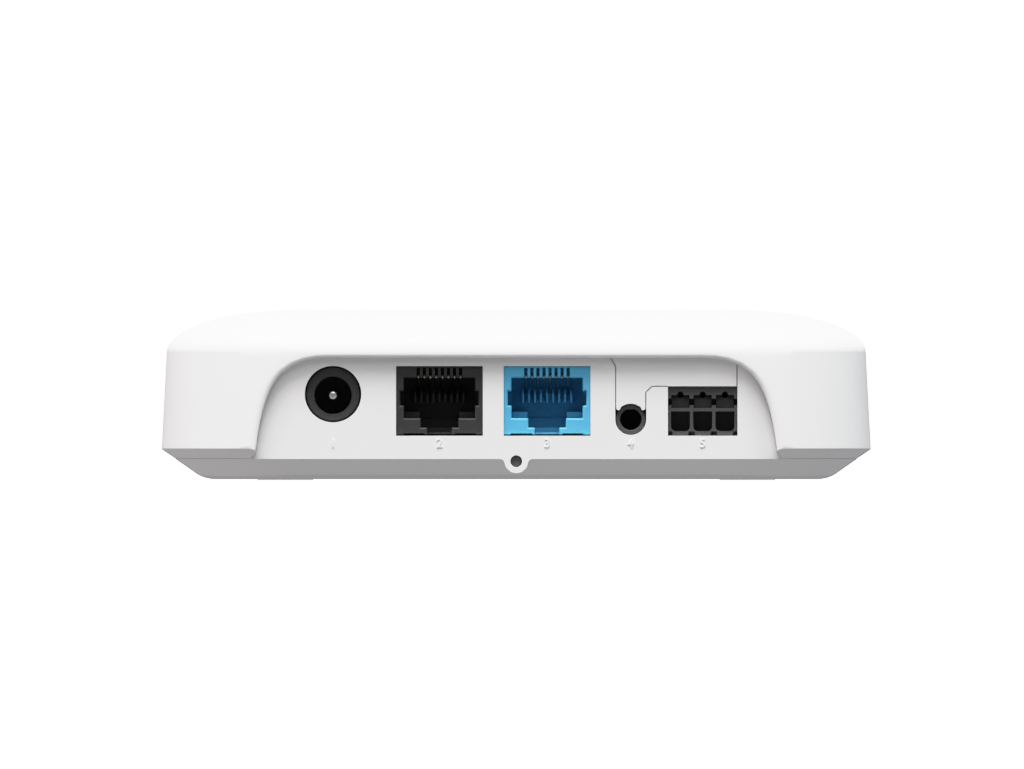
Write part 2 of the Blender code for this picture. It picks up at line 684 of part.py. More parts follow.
def make_components():
    block("radio_shield", (-28, 18), (20, 17, 2.6), "steel")
    block("processor", (2, 8), (12, 12, 1.2), "dark_plastic", 0.15)
    block("network_transformer", (NETWORK_X, -28), (12.5, 16, 5.6), "dark_plastic")
    block("valve_relay_1", (3.5, -28), (10.2, 19.5, 10.4), "dark_plastic")
    block("valve_relay_2", (17.0, -28), (10.2, 19.5, 10.4), "dark_plastic")
    block("bus_transceiver", (30.5, -34), (5, 6, 1.75), "dark_plastic", 0.15)
    block("inductor", (-43.0, -18), (10, 10, 5), "dark_plastic", 0.8)
    for number, y in ((1, -31.5), (2, -22.0)):
        can = rod(-29.0, y, (ON_BOARD, ON_BOARD + 11), 4.0, 24)
        as_part(can, f"capacitor_{number}", "steel")
        edge = can.modifiers.new("edge", 'BEVEL')
        edge.width = 0.4 * MM
        edge.segments = 1
        edge.limit_method = 'ANGLE'
    holder = block("cell_holder", (31, 18), (23.5, 23.5, 4.2), "dark_plastic", 0.5)
    cut(holder, rod(31, 18, (ON_BOARD + 0.9, ON_BOARD + 6), 10.3, 32))
    cell = rod(31, 18, (ON_BOARD + 1.2, ON_BOARD + 4.4), 10.0, 32)
    as_part(cell, "clock_cell", "steel")
    antenna = box((-33, -6), (45.2, 45.7), (ON_BOARD, ON_BOARD + 7))
    as_part(antenna, "antenna", "plated_metal")
    join(antenna, box((-33, -27), (41, 45.4), (ON_BOARD + 6.5, ON_BOARD + 7)))


make_cover()
make_tray()
make_insert()
make_feet_and_case_screws()
make_board_and_screws()
make_power_jack()
make_modular_jack("network", NETWORK_X, "dark_plastic")
make_modular_jack("valve", VALVE_X, "blue_plastic")
make_sense_jack()
make_terminal()
make_reset()
make_lamp()
make_components()
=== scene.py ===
# %% [markdown]
# # An irrigation controller, looked at from its port side
# The hub is a white, softly domed box about twelve centimetres square. One side
# has an arched opening in the cover, and behind it stands a flat panel with five
# ports. The frame holds every part at its true place and size. This lesson makes
# the fine surfaces around it: the shells first, then the ports, then the finishes.

# %% Load the frame
import json
import math

import bmesh
import bpy
from mathutils import Matrix, Vector


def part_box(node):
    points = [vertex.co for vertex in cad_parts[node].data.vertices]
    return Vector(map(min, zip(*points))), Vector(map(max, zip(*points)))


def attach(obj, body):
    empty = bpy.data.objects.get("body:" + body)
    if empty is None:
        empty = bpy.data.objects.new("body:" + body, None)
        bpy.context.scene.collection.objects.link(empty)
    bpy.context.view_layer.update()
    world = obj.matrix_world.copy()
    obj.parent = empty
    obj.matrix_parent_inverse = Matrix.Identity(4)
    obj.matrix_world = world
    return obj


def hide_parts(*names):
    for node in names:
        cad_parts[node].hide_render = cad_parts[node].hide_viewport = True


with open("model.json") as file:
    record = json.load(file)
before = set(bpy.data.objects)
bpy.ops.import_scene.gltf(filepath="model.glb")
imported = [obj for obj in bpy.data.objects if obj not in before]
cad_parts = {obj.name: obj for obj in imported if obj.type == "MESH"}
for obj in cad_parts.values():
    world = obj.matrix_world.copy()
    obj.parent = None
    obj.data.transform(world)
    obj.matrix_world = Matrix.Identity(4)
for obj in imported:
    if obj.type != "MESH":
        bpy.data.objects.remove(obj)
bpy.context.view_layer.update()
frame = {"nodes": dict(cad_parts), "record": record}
MM = 0.001


# %% [markdown]
# ## Small helpers
# Lengths are kept in millimetres, as on a drawing, and are turned into metres when
# a mesh is made. Every piece is finished the same way: its place goes into its
# mesh, it rides on a body, it names its finish and it stands for its CAD node.

# %% Helpers for pieces
def node_box(name):
    """The lowest and highest corners of a CAD node, in millimetres."""
    low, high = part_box(name)
    return Vector(low) / MM, Vector(high) / MM


def active():
    return bpy.context.view_layer.objects.active


def only(piece):
    bpy.ops.object.select_all(action='DESELECT')
    piece.select_set(True)
    bpy.context.view_layer.objects.active = piece
    return piece


def settle(piece):
    """Put a piece's turn, size and place into its mesh."""
    only(piece)
    bpy.ops.object.transform_apply(location=True, rotation=True, scale=True)
    return piece


def smooth(piece, degrees):
    """Shade smooth, but keep every edge sharper than an angle."""
    only(piece)
    bpy.ops.object.shade_smooth_by_angle(angle=math.radians(degrees))
    return piece


def new_object(name, shape):
    """Turn a bmesh into a linked, active object."""
    mesh = bpy.data.meshes.new(name)
    shape.to_mesh(mesh)
    shape.free()
    piece = bpy.data.objects.new(name, mesh)
    bpy.context.collection.objects.link(piece)
    return only(piece)


def edit(piece, operator, **settings):
    """Run one mesh operator on the whole of a piece."""
    only(piece)
    bpy.ops.object.mode_set(mode='EDIT')
    bpy.ops.mesh.select_all(action='SELECT')
    operator(**settings)
    bpy.ops.object.mode_set(mode='OBJECT')
    return piece


def face_outwards(piece):
    return edit(piece, bpy.ops.mesh.normals_make_consistent, inside=False)


def apply_all(piece):
    only(piece)
    for modifier in list(piece.modifiers):
        bpy.ops.object.modifier_apply(modifier=modifier.name)
    return piece


def block(x_range, y_range, z_range):
    """A box between two corners, in millimetres."""
    low = Vector((x_range[0], y_range[0], z_range[0])) * MM
    high = Vector((x_range[1], y_range[1], z_range[1])) * MM
    bpy.ops.object.select_all(action='DESELECT')
    bpy.ops.mesh.primitive_cube_add(size=1, location=(low + high) / 2)
    piece = active()
    piece.scale = high - low
    return settle(piece)


def bar(middle, length, radius, sides, turn=(0, 0, 0)):
    """A round bar about its middle, along Z unless it is turned."""
    bpy.ops.object.select_all(action='DESELECT')
    bpy.ops.mesh.primitive_cylinder_add(
        vertices=sides, radius=radius * MM, depth=length * MM, location=middle * MM, rotation=turn
    )
    return settle(active())


def round_y(x, z, y_range, radius, sides=64):
    """A round bar along Y, in millimetres."""
    middle = Vector((x, (y_range[0] + y_range[1]) / 2, z))
    return bar(middle, y_range[1] - y_range[0], radius, sides, (math.pi / 2, 0, 0))


def round_z(x, y, z_range, radius, sides=64):
    """A round bar along Z, in millimetres."""
    middle = Vector((x, y, (z_range[0] + z_range[1]) / 2))
    return bar(middle, z_range[1] - z_range[0], radius, sides)


def drawn_out(corners, travel):
    """Fill a flat outline and draw it out by a vector, both in millimetres."""
    shape = bmesh.new()
    shape.faces.new([shape.verts.new(corner * MM) for corner in corners])
    piece = new_object("outline", shape)
    move = {"value": tuple(travel * MM)}
    edit(piece, bpy.ops.mesh.extrude_region_move, TRANSFORM_OT_translate=move)
    return face_outwards(piece)


def slab(points, y_range):
    """A flat (x, z) outline, drawn out along Y."""
    corners = [Vector((x, y_range[0], z)) for x, z in points]
    return drawn_out(corners, Vector((0, y_range[1] - y_range[0], 0)))


def strip(points, x_range):
    """A flat (y, z) outline, drawn out along X."""
    corners = [Vector((x_range[0], y, z)) for y, z in points]
    return drawn_out(corners, Vector((x_range[1] - x_range[0], 0, 0)))


def arc(middle, radius, start, sweep, steps):
    """Points round a middle, at even steps of a sweep from an angle."""
    angles = [start + sweep * step / steps for step in range(steps + 1)]
    return [
        (middle[0] + radius * math.cos(angle), middle[1] + radius * math.sin(angle))
        for angle in angles
    ]


def gather(pieces):
    """Make separate closed bodies one piece, without joining their surfaces."""
    bpy.ops.object.select_all(action='DESELECT')
    for piece in pieces:
        piece.select_set(True)
    bpy.context.view_layer.objects.active = pieces[0]
    bpy.ops.object.join()
    return pieces[0]


def boolean(piece, tools, operation):
    """Join or cut with each tool in turn, then throw the tools away."""
    for tool in tools:
        modifier = piece.modifiers.new(operation, 'BOOLEAN')
        modifier.operation = operation
        modifier.solver = 'EXACT'
        modifier.object = tool
        only(piece)
        bpy.ops.object.modifier_apply(modifier=modifier.name)
        bpy.data.objects.remove(tool)
    return piece


def cut(piece, *tools):
    return boolean(piece, tools, 'DIFFERENCE')


def join(piece, *tools):
    return boolean(piece, tools, 'UNION')


def flatten(piece):
    """Smooth the round edges and keep the large faces flat between them."""
    smooth(piece, 35)
    weighted = piece.modifiers.new("flat faces", 'WEIGHTED_NORMAL')
    weighted.keep_sharp = True
    weighted.weight = 100
    bpy.ops.object.modifier_apply(modifier=weighted.name)
    return piece


def soften(piece, width, segments=2):
    """Round every sharp edge by a small width, as any moulding has it."""
    only(piece)
    bevel = piece.modifiers.new("edges", 'BEVEL')
    bevel.width = width * MM
    bevel.segments = segments
    bevel.limit_method = 'ANGLE'
    bevel.angle_limit = math.radians(30)
    bevel.use_clamp_overlap = True
    bevel.miter_outer = 'MITER_ARC'
    bpy.ops.object.modifier_apply(modifier=bevel.name)
    return flatten(piece)


FINISH = {}


def finish_piece(piece, name, slot, *nodes, body="housing"):
    """Name a piece, and say its body, its finish and the CAD nodes it stands for."""
    piece.name = name
    piece.data.name = name
    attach(piece, body)
    if nodes:
        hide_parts(*nodes)
    piece.data.materials.clear()
    piece.data.materials.append(FINISH[slot])
    faces = sum(len(face.vertices) - 2 for face in piece.data.polygons)
    print(f"{name}: {faces} triangles")
    return piece


# %% [markdown]
# ## Finishes
# A finish is worked out from the place on the piece. The class below wraps a
# socket so that masks can be written as sums and products, and one method adds
# any other node. What varies goes only into colour, roughness and the bump.

# %% Shader maths
class Field:
    """A socket, or a number, that can be added, multiplied and compared."""

    def __init__(self, tree, socket):
        self.tree = tree
        self.socket = socket

    def maths(self, operation, first, second):
        node = self.tree.nodes.new("ShaderNodeMath")
        node.operation = operation
        for port, value in zip(node.inputs, (first, second)):
            if isinstance(value, Field):
                self.tree.links.new(value.socket, port)
            else:
                port.default_value = value
        return Field(self.tree, node.outputs[0])

    def __add__(self, other):
        return self.maths('ADD', self, other)

    __radd__ = __add__

    def __mul__(self, other):
        return self.maths('MULTIPLY', self, other)

    __rmul__ = __mul__

    def over(self, level):
        return self.maths('GREATER_THAN', self, level)


class Finish:
    """A material made of one Principled shader and the nodes that feed it."""

    def __init__(self, name, roughness, metallic=0.0, specular=0.5):
        self.material = bpy.data.materials.new(name)
        self.material.use_nodes = True
        self.tree = self.material.node_tree
        self.shader = self.tree.nodes["Principled BSDF"]
        self.shader.inputs["Roughness"].default_value = roughness
        self.shader.inputs["Metallic"].default_value = metallic
        self.shader.inputs["Specular IOR Level"].default_value = specular
        self.place = self.node("ShaderNodeTexCoord").outputs["Object"]

    def node(self, kind, **values):
        """Add a node, and set or link its sockets by name."""
        made = self.tree.nodes.new(kind)
        for key, value in values.items():
            port = made.inputs[key.replace("_", " ")]
            if isinstance(value, Field):
                self.tree.links.new(value.socket, port)
            elif isinstance(value, bpy.types.NodeSocket):
                self.tree.links.new(value, port)
            else:
                port.default_value = value
        return made

    def noise(self, scale, detail=3.0, roughness=0.55):
        made = self.node(
            "ShaderNodeTexNoise", Vector=self.place, Scale=scale, Detail=detail, Roughness=roughness
        )
        return Field(self.tree, made.outputs["Fac"])

    def colour(self, low, high, mask):
        """A colour that goes from low to high as the mask goes from 0 to 1."""
        mix = self.tree.nodes.new("ShaderNodeMix")
        mix.data_type = 'RGBA'
        self.tree.links.new(mask.socket, mix.inputs[0])
        mix.inputs[6].default_value = (*low, 1.0)
        mix.inputs[7].default_value = (*high, 1.0)
        return mix.outputs[2]

    def paint(self, colour, roughness, height=None, depth=0.02):
        """Feed the shader: a colour, a roughness and, if there is one, a grain."""
        links = self.tree.links
        links.new(colour, self.shader.inputs["Base Color"])
        links.new(roughness.socket, self.shader.inputs["Roughness"])
        if height is not None:
            bump = self.node("ShaderNodeBump", Strength=0.35, Distance=depth * MM, Height=height)
            links.new(bump.outputs["Normal"], self.shader.inputs["Normal"])
        return self.material


# %% [markdown]
# The white shell is moulded in a spark-eroded tool: satin, very finely grained,
# with hardly any change of tone. The grain is a quick noise a few tenths of a
# millimetre across, and a slow noise moves the roughness a little, as handling does.

# %% White shell
def white_shell():
    finish = Finish("moulded_white", 0.42)
    grain = finish.noise(3200.0, 4.0)
    cloud = finish.noise(45.0, 2.0)
    fine = finish.noise(900.0, 2.0)
    tone = finish.colour((0.845, 0.843, 0.840), (0.875, 0.874, 0.872), cloud * 0.7 + fine * 0.3)
    return finish.paint(tone, 0.36 + 0.10 * cloud + 0.06 * grain, grain + fine * 0.5, 0.012)


FINISH["white_shell"] = white_shell()


# %% [markdown]
# The black mouldings are glass-filled nylon. It has a slightly mottled, rougher
# surface than the shell. The blue socket is the same compound in another colour,
# and the round jack and the terminal are of a slightly paler black.

# %% Connector plastics
def connector_plastic(name, low, high, roughness):
    finish = Finish(name, roughness, specular=0.3)
    mottle = finish.noise(700.0, 5.0, 0.65)
    grain = finish.noise(2600.0, 3.0)
    tone = finish.colour(low, high, mottle)
    return finish.paint(tone, roughness - 0.06 + 0.14 * mottle, grain + mottle, 0.015)


FINISH["dark_plastic"] = connector_plastic(
    "nylon_black", (0.030, 0.030, 0.031), (0.049, 0.049, 0.050), 0.58
)
FINISH["blue_plastic"] = connector_plastic(
    "nylon_blue", (0.100, 0.47, 0.75), (0.120, 0.52, 0.80), 0.55
)
FINISH["grey_plastic"] = connector_plastic(
    "nylon_grey", (0.090, 0.090, 0.092), (0.115, 0.115, 0.117), 0.55
)
CHARCOAL = connector_plastic(
    "nylon_charcoal", (0.058, 0.058, 0.059), (0.082, 0.082, 0.083), 0.58
)


# %% [markdown]
# Rubber is matt and a little dusty: light specks sit on a mid grey. The plated
# contacts have faint drawing lines along them, and their plating is painted darker
# than plated metal is, as painted shade for the dim insides of the sockets. Screws
# and cans are duller, with scuffs that change the roughness more than the colour.

# %% Rubber and metals
def foot_rubber():
    finish = Finish("rubber_grey", 0.82, specular=0.3)
    dust = finish.noise(1500.0, 6.0, 0.7)
    cloud = finish.noise(160.0, 2.0)
    tone = finish.colour((0.16, 0.16, 0.16), (0.24, 0.24, 0.235), 0.6 * dust + 0.4 * cloud)
    return finish.paint(tone, 0.74 + 0.18 * dust, dust, 0.03)


def bright_metal(name, low, high, roughness, lines):
    finish = Finish(name, roughness, metallic=1.0)
    stretch = finish.node("ShaderNodeMapping", Vector=finish.place, Scale=lines)
    drawn = finish.node("ShaderNodeTexNoise", Vector=stretch.outputs[0], Scale=400.0, Detail=4.0)
    streak = Field(finish.tree, drawn.outputs["Fac"])
    scuff = finish.noise(250.0, 4.0, 0.6)
    tone = finish.colour(low, high, streak)
    return finish.paint(tone, roughness - 0.08 + 0.10 * streak + 0.10 * scuff, streak, 0.006)


FINISH["foot_rubber"] = foot_rubber()
# The plating's colour is painted darker than the metal: painted shade for the contacts and leaves deep in
# the sockets.
FINISH["plated_metal"] = bright_metal(
    "plated", (0.36, 0.33, 0.28), (0.50, 0.46, 0.39), 0.34, (6, 1, 6)
)
FINISH["steel"] = bright_metal(
    "zinc_steel", (0.42, 0.42, 0.43), (0.62, 0.62, 0.63), 0.36, (1, 1, 8)
)


# %% [markdown]
# The board is hidden inside, and shows only if the cover is off. Its solder mask
# is dark green, lighter where copper runs beneath, and the lines of a brick
# pattern stand for the tracks. The clear moulding is milky, so the lamp spreads.

# %% Board and clear plastic
def board_green():
    finish = Finish("solder_mask", 0.38)
    tracks = finish.node(
        "ShaderNodeTexBrick",
        Vector=finish.place,
        Scale=260.0,
        Mortar_Size=0.09,
        Color1=(0, 0, 0, 1),
        Color2=(0, 0, 0, 1),
        Mortar=(1, 1, 1, 1),
    )
    copper = Field(finish.tree, tracks.outputs["Fac"]) * finish.noise(60.0, 2.0).over(0.52)
    cloud = finish.noise(90.0, 2.0)
    tone = finish.colour((0.012, 0.085, 0.035), (0.03, 0.19, 0.075), 0.75 * copper + 0.25 * cloud)
    return finish.paint(tone, 0.34 + 0.12 * cloud, copper, 0.035)


def clear_plastic():
    finish = Finish("milky_clear", 0.22)
    cloud = finish.noise(300.0, 3.0)
    tone = finish.colour((0.74, 0.77, 0.80), (0.85, 0.87, 0.89), cloud)
    return finish.paint(tone, 0.16 + 0.16 * cloud, cloud, 0.01)


FINISH["board_green"] = board_green()
FINISH["clear_plastic"] = clear_plastic()

for row in frame["record"]["subparts"]:
    part = frame["nodes"][row["node"]]
    part.data.materials.clear()
    part.data.materials.append(FINISH[row["material_slot"]])
print(f"{len(frame['nodes'])} parts have their finish")


# %% [markdown]
# ## Driving sizes
# The outline is a rounded square whose corners all turn about the same four
# centres, whatever the height. So one number, the inset, says where any ring of
# the hub lies: 0 is the widest line, just above the seam.

# %% Outline and levels
cover_low, cover_high = node_box("top_cover")
tray_low, tray_high = node_box("base_tray")
HALF = round(cover_high.x, 3)
CORNER = 22.75
CENTRE = HALF - CORNER
RIM_INSET = 2.3
PANEL_Y = -(CENTRE + (CORNER - RIM_INSET))
SEAM = round(cover_low.z, 3)
WIDEST = SEAM + 1.55
WALL_TOP = cover_high.z - 7.15
DRAFT = 0.85
RIM_GAP = 0.03
INNER_WALL = 0.1
CORNER_STEPS = 24
FLAT_STEPS = 24
SIDE_STATIONS = CORNER_STEPS + FLAT_STEPS
RING = 4 * SIDE_STATIONS
print(f"half width {HALF:.2f} mm, seam at {SEAM:.2f} mm, top at {cover_high.z:.2f} mm")


def ring_point(station, inset, level):
    """A point of the ring at one inset. Stations count round from the middle of a corner."""
    side, step = divmod(station, SIDE_STATIONS)
    radius = CORNER - inset
    if step <= CORNER_STEPS:
        angle = math.pi / 2 * (step / CORNER_STEPS) - math.pi / 2
        x = CENTRE + radius * math.cos(angle)
        y = -CENTRE + radius * math.sin(angle)
    else:
        x = CENTRE + radius
        y = -CENTRE + 2 * CENTRE * (step - CORNER_STEPS) / FLAT_STEPS
    for _ in range(side % 4):
        x, y = -y, x
    return Vector((x, y, level))


DOME_RUN = CORNER - DRAFT
DOME_RISE = cover_high.z - WALL_TOP


def skin_inset(level):
    """The cover's inset at a level: a drafted wall below, a quarter ellipse above."""
    if level <= WALL_TOP:
        return DRAFT * (level - WIDEST) / (WALL_TOP - WIDEST)
    rise = min(1.0, (level - WALL_TOP) / DOME_RISE)
    return DRAFT + DOME_RUN * (1 - math.sqrt(1 - rise * rise))


def ring_depth(x, inset):
    """Where the port side of a ring lies at x."""
    radius = CORNER - inset
    aside = min(radius, max(0.0, abs(x) - CENTRE))
    return -CENTRE - math.sqrt(radius * radius - aside * aside)


def front_y(x, level):
    return ring_depth(x, skin_inset(level))


# %% [markdown]
# ## The arch
# The opening's edge rises with a slight lean, turns over in one long curve and
# runs level above the ports. One curve segment makes the shoulder. Points are
# taken at even steps of length, so the skin around them stays even.

# %% The arch's edge
FOOT_HALF, CROWN_HALF, CROWN = 43.87, 32.0, 20.54
LEAN = math.radians(7)
FOOT_PULL, CROWN_PULL = 10.5, 8.0
SHOULDER_STEPS, CROWN_STEPS = 120, 160


def arch_points():
    """The arch's edge as (x, z) points, close together, from left to right."""
    foot = Vector((FOOT_HALF, WIDEST))
    crown = Vector((CROWN_HALF, CROWN))
    first = foot + FOOT_PULL * Vector((-math.sin(LEAN), math.cos(LEAN)))
    last = crown + Vector((CROWN_PULL, 0.0))
    right = []
    for step in range(SHOULDER_STEPS + 1):
        t = step / SHOULDER_STEPS
        a = foot * (1 - t) ** 3 + first * 3 * t * (1 - t) ** 2
        right.append(a + last * 3 * t * t * (1 - t) + crown * t ** 3)
    left = [Vector((-point.x, point.y)) for point in right]
    level = []
    for step in range(1, CROWN_STEPS):
        level.append(Vector((CROWN_HALF * (2 * step / CROWN_STEPS - 1), CROWN)))
    return left + level + list(reversed(right))


ARCH = arch_points()
ARCH_LENGTHS = [0.0]
for before, after in zip(ARCH, ARCH[1:]):
    ARCH_LENGTHS.append(ARCH_LENGTHS[-1] + (after - before).length)


def arch_at(length):
    """The point at a length along the arch, and the direction away from the opening."""
    index = 1
    while index < len(ARCH) - 1 and ARCH_LENGTHS[index] < length:
        index += 1
    span = ARCH_LENGTHS[index] - ARCH_LENGTHS[index - 1]
    t = (length - ARCH_LENGTHS[index - 1]) / span
    before, after = ARCH[max(index - 2, 0)], ARCH[min(index + 1, len(ARCH) - 1)]
    along = (after - before).normalized()
    return ARCH[index - 1].lerp(ARCH[index], t), Vector((-along.y, along.x))


def half_turn_length():
    """How far along the arch its edge has turned by half a right angle."""
    for index in range(1, len(ARCH)):
        along = ARCH[index] - ARCH[index - 1]
        if along.x > along.y:
            return ARCH_LENGTHS[index]
    return ARCH_LENGTHS[-1] / 4


# %% [markdown]
# ## The cover
# The cover is drawn as one skin. Rings of points climb from the lip over the wall
# and the dome. In front, the wall below the dome is left out between two stations,
# and a band of faces is laid there instead: it starts on that gap's border and ends
# on the arch, so its faces follow the arch and the round edge has clean shading.

# %% Rows of the cover
ROUND_DEPTH = 0.6
ROUND_SIDE, ROUND_CROWN = 1.3, 0.7
CIRCLE_PULL = 0.5523
BAND_STEPS, ROUND_STEPS = 7, 7
FOOT_SWING = 0.95
GAP_STATION = 7
# The port side starts in the last of the four corners.
GAP_FIRST = 3 * SIDE_STATIONS + CORNER_STEPS - GAP_STATION
GAP_LAST = RING + GAP_STATION

DOME_ANGLES = [1, 2.5, 4.5, 7, 10, 13.5, 17.5] + list(range(22, 83, 5)) + [86, 90]
BAND_DOME_ROWS = 7
WALL_ROWS = 12
WALL_START, WALL_END = WIDEST + 0.28, WALL_TOP - 0.12
WALL_STEP = (WALL_END - WALL_START) / WALL_ROWS
WALL_LEVELS = [WIDEST + 0.14]
WALL_LEVELS += [WALL_START + WALL_STEP * row for row in range(WALL_ROWS + 1)]
WALL_LEVELS.append(WALL_TOP)
DOME_LEVELS = [WALL_TOP + DOME_RISE * math.sin(math.radians(angle)) for angle in DOME_ANGLES]
SIDE_LEVELS = WALL_LEVELS + DOME_LEVELS[:BAND_DOME_ROWS]
CHAMFER = (WIDEST - SEAM) / RIM_INSET
LIP_ROWS = [(RIM_INSET, SEAM + RIM_GAP), (RIM_INSET - 0.06, SEAM + RIM_GAP + 0.01)]
LIP_ROWS += [(inset, SEAM + CHAMFER * (RIM_INSET - inset)) for inset in (2.1, 0.7, 0.35)]
LIP_ROWS += [(0.16, WIDEST - 0.1), (0.05, WIDEST + 0.04)]


class Skin:
    """Faces laid between points, with points at one place made one at the end."""

    def __init__(self):
        self.shape = bmesh.new()

    def lay(self, rows):
        """Faces between neighbouring rows of points."""
        made = [[self.shape.verts.new(point * MM) for point in row] for row in rows]
        for low, high in zip(made, made[1:]):
            for index in range(len(low) - 1):
                after = index + 1
                self.shape.faces.new((low[index], low[after], high[after], high[index]))

    def piece(self, name):
        """Merge the points that meet, drop empty faces and turn the rest outwards."""
        bmesh.ops.remove_doubles(self.shape, verts=self.shape.verts, dist=0.004 * MM)
        flat = [face for face in self.shape.faces if face.calc_area() < 1e-14]
        bmesh.ops.delete(self.shape, geom=flat, context='FACES_ONLY')
        piece = face_outwards(new_object(name, self.shape))
        top = max(piece.data.polygons, key=lambda face: face.center.z)
        if top.normal.z < 0:
            piece.data.flip_normals()
        return piece


# %% [markdown]
# The band's rows are spread evenly between the gap's border and the start of the
# round edge, and each point is dropped onto the cover's surface. The round edge
# leaves the surface along it and arrives square to the panel, so no crease shows
# where it starts. At each foot the rows go down over the lip and swing outwards.

# %% The band round the arch
def round_edge(normal):
    """The round edge is fuller at the sides of the arch than under its crown."""
    return ROUND_SIDE - (ROUND_SIDE - ROUND_CROWN) * max(0.0, normal.y) ** 2


def ring_row(inset, level, first=0, last=RING):
    return [ring_point(station % RING, inset, level) for station in range(first, last + 1)]


def gap_border():
    """Points up the gap's left side, across its top and down its right side."""
    left = [ring_point(GAP_FIRST, skin_inset(level), level) for level in SIDE_LEVELS]
    top = ring_row(skin_inset(SIDE_LEVELS[-1]), SIDE_LEVELS[-1], GAP_FIRST, GAP_LAST)[1:-1]
    return left, top, [Vector((-point.x, point.y, point.z)) for point in reversed(left)]


def matched_edge(side, across):
    """One arch point and normal for each border point."""
    turn = half_turn_length()
    whole = ARCH_LENGTHS[-1]
    low = [turn * index / (side - 1) for index in range(side)]
    middle = [turn + (whole - 2 * turn) * (index + 1) / (across + 1) for index in range(across)]
    return [arch_at(length) for length in low + middle + [whole - length for length in reversed(low)]]


def arch_band():
    """Rows of points from the gap's border to the arch, round its edge and inwards."""
    left, top, right = gap_border()
    border = left + top + right
    edge = matched_edge(len(left), len(top))
    floor = SIDE_LEVELS[0]
    rows = [border]
    for step in range(1, BAND_STEPS + 1):
        row = []
        for start, (point, normal) in zip(border, edge):
            goal = point + round_edge(normal) * normal
            x = start.x + (goal.x - start.x) * step / BAND_STEPS
            z = start.z + (max(goal.y, floor) - start.z) * step / BAND_STEPS
            row.append(Vector((x, front_y(x, z), z)))
        rows.append(row)
    outer = rows[-1]
    for step in range(1, ROUND_STEPS + 1):
        t = step / ROUND_STEPS
        row = []
        for base, (point, normal) in zip(outer, edge):
            along = Vector((-normal.x, 0.0, -normal.y)) * 0.1
            near = base + along
            along.y = front_y(near.x, near.z) - base.y
            along = along.normalized() * (round_edge(normal) * CIRCLE_PULL)
            level = max(point.y, floor)
            end = Vector((point.x, front_y(point.x, level) + ROUND_DEPTH, level))
            pull = end - Vector((0.0, ROUND_DEPTH * CIRCLE_PULL, 0.0))
            spot = base * (1 - t) ** 3 + (base + along) * (3 * t * (1 - t) ** 2)
            row.append(spot + pull * (3 * t * t * (1 - t)) + end * t ** 3)
        row[0].z = floor
        row[-1].z = floor
        rows.append(row)
    inner = rows[-1]
    for share in (0.5, 1.0):
        row = []
        for point in inner:
            depth = ring_depth(point.x, RIM_INSET) - INNER_WALL - point.y
            row.append(Vector((point.x, point.y + depth * share, point.z)))
        rows.append(row)
    return rows


def foot_rows(band, end):
    """The lip below the band's end, turning outwards under the arch's foot."""
    base = [row[end] for row in band]
    rows = [base]
    side = 1 if base[0].x > 0 else -1
    start_inset = skin_inset(base[0].z)
    width = abs(base[0].x) - abs(base[-1].x)
    for inset, level in reversed(LIP_ROWS):
        share = min(1.0, inset / RIM_INSET)
        swing = FOOT_SWING * (1 - math.sqrt(1 - share * share))
        row = []
        for point in base:
            turn = math.asin((abs(point.x) - CENTRE) / (CORNER - start_inset))
            depth = point.y - ring_depth(point.x, start_inset)
            turned = min(1.0, depth / ROUND_DEPTH)
            towards = min(1.0, (abs(base[0].x) - abs(point.x)) / width)
            radial = CENTRE + (CORNER - inset) * math.sin(turn)
            x = radial * (1 - towards) + (abs(point.x) + swing * turned) * towards
            y = max(ring_depth(x, inset), min(point.y, ring_depth(x, RIM_INSET) - INNER_WALL))
            if depth < 0.001:
                y = ring_depth(x, inset)
            row.append(Vector((side * x, y, level)))
        rows.append(row)
    return rows


# %% [markdown]
# A second skin lies inside the first, a wall's thickness away, as on any moulding.
# It is thinner at the lip, where the share of the thickness counts.

# %% Lay the cover's skin
SKIN_WALL = 1.1
LIP_TOP, LIP_SHARE = WIDEST + 0.3, 0.3
COVER_SMOOTH = 42
PIPE_BORE = 1.7


def make_cover():
    skin = Skin()
    low = LIP_ROWS + [(skin_inset(level), level) for level in SIDE_LEVELS]
    skin.lay([ring_row(inset, level, GAP_LAST - RING, GAP_FIRST) for inset, level in low])
    high = [(skin_inset(level), level) for level in [SIDE_LEVELS[-1]] + DOME_LEVELS[BAND_DOME_ROWS:]]
    skin.lay([ring_row(inset, level) for inset, level in high])
    plateau = []
    for across in range(FLAT_STEPS + 1):
        y = -CENTRE + 2 * CENTRE * across / FLAT_STEPS
        steps = [-CENTRE + 2 * CENTRE * step / FLAT_STEPS for step in range(FLAT_STEPS + 1)]
        plateau.append([Vector((x, y, cover_high.z)) for x in steps])
    skin.lay(plateau)
    band = arch_band()
    skin.lay(band)
    skin.lay(foot_rows(band, 0))
    skin.lay(foot_rows(band, -1))
    cover = skin.piece("cover")
    full = cover.vertex_groups.new(name="full wall")
    raised = [vertex.index for vertex in cover.data.vertices if vertex.co.z > LIP_TOP * MM]
    full.add(raised, 1.0, 'ADD')
    wall = cover.modifiers.new("wall", 'SOLIDIFY')
    wall.thickness = SKIN_WALL * MM
    wall.offset = -1
    wall.vertex_group = full.name
    wall.thickness_vertex_group = LIP_SHARE
    apply_all(cover)
    for vertex in cover.data.vertices:
        vertex.co.z = max(vertex.co.z, (SEAM + RIM_GAP) * MM)
    return smooth(cover, COVER_SMOOTH)


cover = make_cover()
far_low, far_high = node_box("light_pipe")
pipe_level = (far_low.z + far_high.z) / 2
cut(cover, round_y(0, pipe_level, (HALF - 4, HALF + 4), PIPE_BORE, 48))
smooth(cover, COVER_SMOOTH)
finish_piece(cover, "cover_shell", "white_shell", "top_cover")


# %% [markdown]
# ## The tray and its port panel
# The tray is a shallow dish with a sloping side. Its rim carries the port panel,
# which stands up behind the arch, and a small lobe with the reset hole hangs
# from the panel's lower edge. The dish and the panel are laid as closed rings,
# joined, and then cut for the ports.

